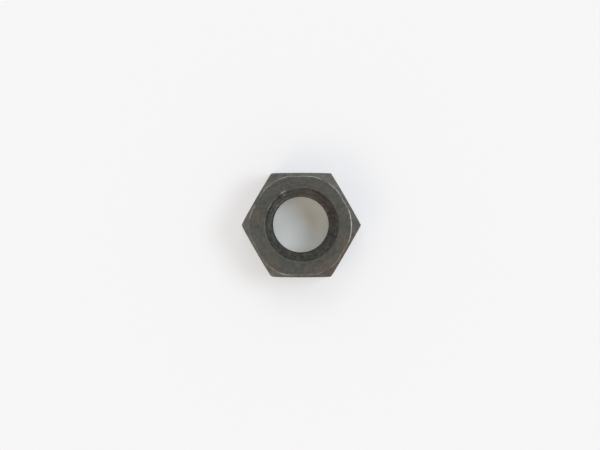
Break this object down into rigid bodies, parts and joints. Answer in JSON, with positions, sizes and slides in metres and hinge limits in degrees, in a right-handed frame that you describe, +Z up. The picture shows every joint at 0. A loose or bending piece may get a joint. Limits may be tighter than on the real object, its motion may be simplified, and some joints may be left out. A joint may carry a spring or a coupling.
{
  "type": "hexagon nut",
  "caption": "Plain hexagon nut in blackened steel with a right-hand M6 metric thread, both faces chamfered and both mouths countersunk.",
  "frame": {"origin": "middle of the lower bearing face, on the thread's axis", "axes": "+Z up along the thread's axis; two opposite corners of the hexagon lie on the X axis, and two opposite flats face +Y and -Y"},
  "size_m": [0.0114, 0.01, 0.005],
  "materials": {
    "black_oxide_steel": "satin black oxide over turned and drawn steel, worn to bare metal along the chamfer edges"
  },
  "bodies": {
    "root": {"hex_nut": "black_oxide_steel"}
  },
  "joints": []
}
